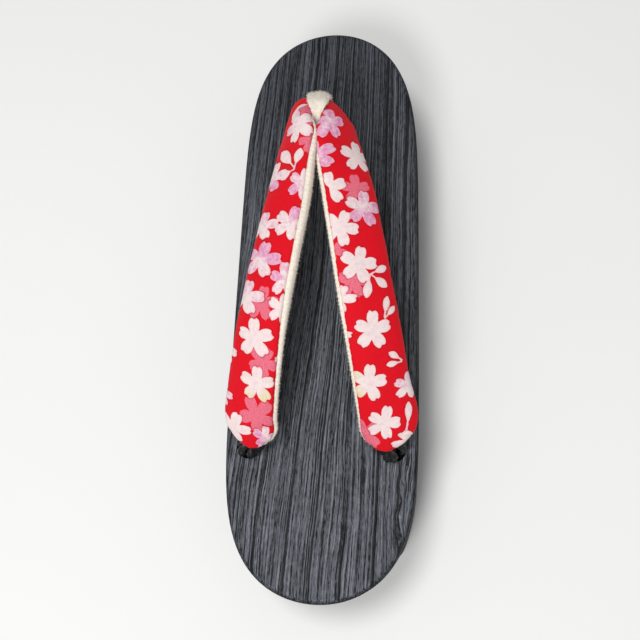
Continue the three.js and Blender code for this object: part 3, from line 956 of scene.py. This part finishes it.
def strap_lining():
    t, along, fold = even_rows(LINING_STEP)
    sections = strap_sections(t)
    sections["seam"] = sewn_seam(sections, along, fold)
    first = np.full(len(t), SEAM_OUTER + LINING_TUCK)
    last = 360 + sections["seam"] - LINING_TUCK
    angles = even_angles(sections, first, last, LINING_ARC)
    reached = lengths_along(section_points(sections, angles))
    edge = np.minimum(reached, reached[:, -1:] - reached)
    back = np.abs(along - fold)[:, None]
    lift = VELVET_BEAD["height"] * np.exp(-((edge - VELVET_BEAD["middle"]) ** 2) / VELVET_BEAD["spread"])
    pucker = np.sin(back * 3.9 + 0.6 * np.sin(back * 0.9))
    lift += seam_relief(edge, pucker, VELVET_PUCKER, VELVET_DIP)
    arm = np.where(along < fold, "left", "right")[:, None]
    lift += swell_relief(arm, back, angles)
    face = section_points(sections, angles, lift)
    back_face = section_points(sections, angles[:, ::-1], -LINING_THICKNESS)
    rings = np.concatenate([face, back_face], axis=1)
    lining = skin_object("strap_lining_velvet", rings, VELVET)
    belongs(lining, "velvet", "strap_lining")
    add_nap(
        lining, "strap_lining_nap", LINING_NAP["count"],
        lambda place, normal: normal[:, 2] > LINING_NAP["lowest_facing"],
    )


def add_nap(piece, name, count, chosen):
    """Short fibres on the chosen faces of a velvet piece, each a closed sliver."""
    mesh = piece.data
    mesh.calc_loop_triangles()
    corners = np.zeros(len(mesh.loop_triangles) * 3, dtype=np.int32)
    mesh.loop_triangles.foreach_get("vertices", corners)
    places = np.zeros(len(mesh.vertices) * 3)
    mesh.vertices.foreach_get("co", places)
    a, b, c = np.moveaxis((places.reshape(-1, 3) / MM)[corners.reshape(-1, 3)], 1, 0)
    cross = np.cross(b - a, c - a)
    area = np.linalg.norm(cross, axis=1)
    normal = cross / np.maximum(area, 1e-9)[:, None]
    weight = np.where(chosen((a + b + c) / 3, normal), area, 0)
    picked = rng.choice(len(area), count, p=weight / weight.sum())
    u, v = np.sqrt(rng.random((count, 1))), rng.random((count, 1))
    root = a[picked] * (1 - u) + b[picked] * u * (1 - v) + c[picked] * u * v
    lean = unit(normal[picked] + rng.normal(0, NAP_LEAN, (count, 3)))
    side = unit(np.cross(lean, rng.normal(0, 1, (count, 3))))
    other = np.cross(lean, side)
    tip = root + lean * rng.uniform(*NAP_LENGTHS, (count, 1))
    foot = root - NAP_HALF * lean
    feet = [foot + NAP_HALF * (x * side + y * other) for x, y in NAP_CORNERS]
    points = np.stack([*feet, tip], axis=1)
    base = points.shape[1] * np.arange(count)[:, None, None]
    faces = (base + np.array(NAP_FACES)).reshape(-1, 3)
    nap = mesh_object(name, points.reshape(-1, 3), faces.tolist(), VELVET)
    belongs(nap, "velvet")


# The loop, cords and knots

def loop_rows():
    """Place, width, thickness, angle and closeness of the loop: up in front, round the fold, down again."""
    fold = strap_sections(np.array((STRAP_FOLD,)))
    lean = fold["middle"][0, 0]

    def crown(angle, width, thick, clear, close):
        place = section_points(fold, np.array(((float(angle),),)), thick / 2 + clear)[0, 0]
        return (*place, width, thick, angle, close)

    def leg(angle, rise, width, thick, forward):
        x = lean * smoothstep(rise, 0.0, FOLD_ROW[2])
        return (x, FRONT_HOLE_Y + forward, TOP + rise, width, thick, angle, 0.0)

    front = [leg(LOOP_ENDS[0], *row) for row in LOOP_FRONT_LEG_ROWS][::-1]
    rear = [leg(LOOP_ENDS[1], *row) for row in LOOP_REAR_LEG_ROWS]
    return np.array([*front, *(crown(*row) for row in LOOP_CROWN_ROWS), *rear])


FOLD_REACH = 1.6
FOLD_STEPS = 321


def beside_fold(offsets, angle):
    """How the strap's surface runs on either side of the fold, at one angle of its section."""
    rows = np.linspace(STRAP_FOLD - FOLD_REACH, STRAP_FOLD + FOLD_REACH, FOLD_STEPS)
    along = lengths_along(through(STRAP_ROWS, rows)[:, :3])
    along -= np.interp(STRAP_FOLD, rows, along)
    arm = np.where(along < 0, "left", "right")[:, None]
    angles = np.full((len(rows), 1), angle)
    lift = swell_relief(arm, np.abs(along)[:, None], angles)
    surface = section_points(strap_sections(rows), angles, lift)[:, 0]
    middle = FOLD_STEPS // 2
    aside = surface[:, 0] - surface[middle, 0]
    aside[middle:] = np.maximum.accumulate(aside[middle:])
    aside[: middle + 1] = np.minimum.accumulate(aside[middle::-1])[::-1]
    rising = aside + 1e-6 * along
    shown = np.interp(offsets, rising, rows)
    return np.stack([np.interp(shown, rows, surface[:, k]) - surface[middle, k] for k in range(3)], axis=-1)


LOOP_RINGS = 190
LOOP_SIDES = 40
LOOP_FULLNESS = 0.86
LOOP_RIDGE = {"height": 0.10, "width": 0.16}


def front_loop():
    """A flat band with a soft ridge along its outer face, bent over the strap's fold."""
    rows = loop_rows()
    line = through(rows, np.linspace(0, len(rows) - 1, LOOP_RINGS))
    path, width, thick = line[:, :3], line[:, 3:4], line[:, 4:5]
    ahead = unit(np.gradient(path, axis=0))
    sideways = np.array((1.0, 0.0, 0.0))
    across = unit(sideways - ahead[:, :1] * ahead)
    away = np.cross(across, ahead)
    turn = np.linspace(0, 2 * np.pi, LOOP_SIDES, endpoint=False)
    c, s = np.cos(turn), np.sin(turn)
    x = width / 2 * np.sign(c) * np.abs(c) ** LOOP_FULLNESS
    y = thick / 2 * np.sign(s) * np.abs(s) ** LOOP_FULLNESS
    y = y - LOOP_RIDGE["height"] * thick * np.exp(-((c / LOOP_RIDGE["width"]) ** 2)) * (s < 0)
    rings = path[:, None] + x[..., None] * across[:, None] + y[..., None] * away[:, None]
    angle, close = line[:, 5], np.clip(line[:, 6], 0, 1)
    bent = np.stack([beside_fold(offsets, a) for offsets, a in zip(x, angle)])
    rings += close[:, None, None] * (bent - x[..., None] * across[:, None])
    loop = skin_object("front_loop_velvet", rings, VELVET)
    belongs(loop, "velvet", "front_loop")
    add_nap(
        loop, "front_loop_nap", LOOP_NAP["count"],
        lambda place, normal: place[:, 2] > TOP + LOOP_NAP["from_rise"],
    )


def knot(name, x, y, node, material, slot):
    """A tied knot: a tube that runs twice round and winds three times through itself."""
    ring, wind, tall, steps = 3.0, 1.45, 1.2, 180
    turn = np.linspace(0, 2 * np.pi, steps)
    twice, thrice = 2 * turn, 3 * turn
    reach = ring + wind * np.cos(thrice)
    middle = CEILING - KNOT["seat_gap"] - KNOT["height"] / 2
    height = middle + tall * wind * np.sin(thrice)
    path = np.stack([x + reach * np.cos(twice), y + reach * np.sin(twice), height], axis=1)
    rings = tube_rings(path, radius=2.1, sides=18)
    piece = skin_object(name, rings, material)
    belongs(piece, slot, node)


STRANDS = 7
YARNS = 3
STRAND_SIDES = 18
STRAND = {"steps": 80, "radius": 1.5, "out": 2.75, "drawn_in": 0.35, "twist": 3.2, "yarn_twist": 40.0}
# Where the strands bulge above the board, and how far; then how unevenly they rise, turn and bulge
BULGE = {"rise": 2.3, "length": 1.3, "out": 1.0}
UNEVEN = {"rise": 0.5, "turn": 0.35, "out": 0.7, "yarn": 0.14}
# How far the cord stands straight above the board, runs into the strap's end, and leans forward
CORD_RUN = {"straight": 0.5, "tuck": 1.5, "forward": 1.5}


def rear_cord(name, side):
    """Twisted strands round a straight one fill the hole, bulge above it and run into the strap's end."""
    t = np.linspace(0, 1, STRAND["steps"])
    end_out = ARM_ROWS[0][1]
    highest = TOP + REAR_CORD_TOP + CORD_RUN["tuck"]
    height = CEILING + t * (highest - CEILING)
    drawn = smoothstep(height, TOP + CORD_RUN["straight"], highest)
    x = side * (REAR_HOLE["x"] + (end_out - REAR_HOLE["x"]) * drawn)
    axis = np.stack([x, REAR_HOLE["y"] + CORD_RUN["forward"] * drawn, height], axis=1)
    spoke = np.linspace(0, 2 * np.pi, STRAND_SIDES, endpoint=False)
    points, faces = [], []
    first = 0
    for strand in range(STRANDS + 1):
        high, turned, wide = rng.uniform(-1, 1, 3)
        above = height - TOP - BULGE["rise"] - UNEVEN["rise"] * high
        bulge = (BULGE["out"] + UNEVEN["out"] * wide) * np.exp(-((above / BULGE["length"]) ** 2))
        turn = 2 * np.pi * strand / STRANDS + side * STRAND["twist"] * t + UNEVEN["turn"] * turned
        out = (STRAND["out"] * (1 - STRAND["drawn_in"] * drawn) + bulge) * (strand < STRANDS)
        path = axis + np.stack([out * np.cos(turn), out * np.sin(turn), 0 * t], axis=1)
        rings = tube_rings(path, STRAND["radius"], STRAND_SIDES)
        yarns = np.cos(YARNS * spoke[None] + side * STRAND["yarn_twist"] * t[:, None] + strand)
        laid = 1 + UNEVEN["yarn"] * yarns
        rings = path[:, None] + (rings - path[:, None]) * laid[..., None]
        points.append(skin_points(rings))
        faces += skin_faces(*rings.shape[:2], first=first)
        first += len(points[-1])
    piece = mesh_object(f"{name}_strands", np.vstack(points), faces, CORD)
    belongs(piece, "cord", name)


# The board

CRISP_ANGLE = 40


def smooth_by_angle(degrees):
    """A modifier that shades a piece smooth, with edges sharper than the angle kept crisp."""
    group = bpy.data.node_groups.new("smooth_by_angle", "GeometryNodeTree")
    for way in ("INPUT", "OUTPUT"):
        group.interface.new_socket("Geometry", in_out=way, socket_type="NodeSocketGeometry")
    entry, leave = group.nodes.new("NodeGroupInput"), group.nodes.new("NodeGroupOutput")
    angle = group.nodes.new("GeometryNodeInputMeshEdgeAngle")
    flat = group.nodes.new("FunctionNodeCompare")
    flat.operation = "LESS_EQUAL"
    flat.inputs[1].default_value = math.radians(degrees)
    faces, edges = (group.nodes.new("GeometryNodeSetShadeSmooth") for _ in range(2))
    faces.domain, edges.domain = "FACE", "EDGE"
    for start, end in (
        (angle.outputs["Unsigned Angle"], flat.inputs[0]),
        (entry.outputs[0], faces.inputs["Geometry"]),
        (faces.outputs[0], edges.inputs["Geometry"]),
        (flat.outputs[0], edges.inputs["Shade Smooth"]),
        (edges.outputs[0], leave.inputs[0]),
    ):
        group.links.new(start, end)
    return group


def wood_base():
    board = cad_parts["wood_base"]
    board.data.materials.clear()
    board.data.materials.append(wood_material())
    board.modifiers.new("smooth", "NODES").node_group = smooth_by_angle(CRISP_ANGLE)


add_camera()
add_studio()
VELVET = velvet_material()
CORD = cord_material()
wood_base()
strap_cover()
strap_lining()
front_loop()
knot("front_knot_velvet", 0.0, FRONT_HOLE_Y, "front_knot", VELVET, "velvet")
for word, side in (("left", -1), ("right", 1)):
    rear_cord(f"rear_cord_{word}", side)
    place = side * REAR_HOLE["x"], REAR_HOLE["y"]
    knot(f"rear_knot_{word}_cord", *place, f"rear_knot_{word}", CORD, "cord")
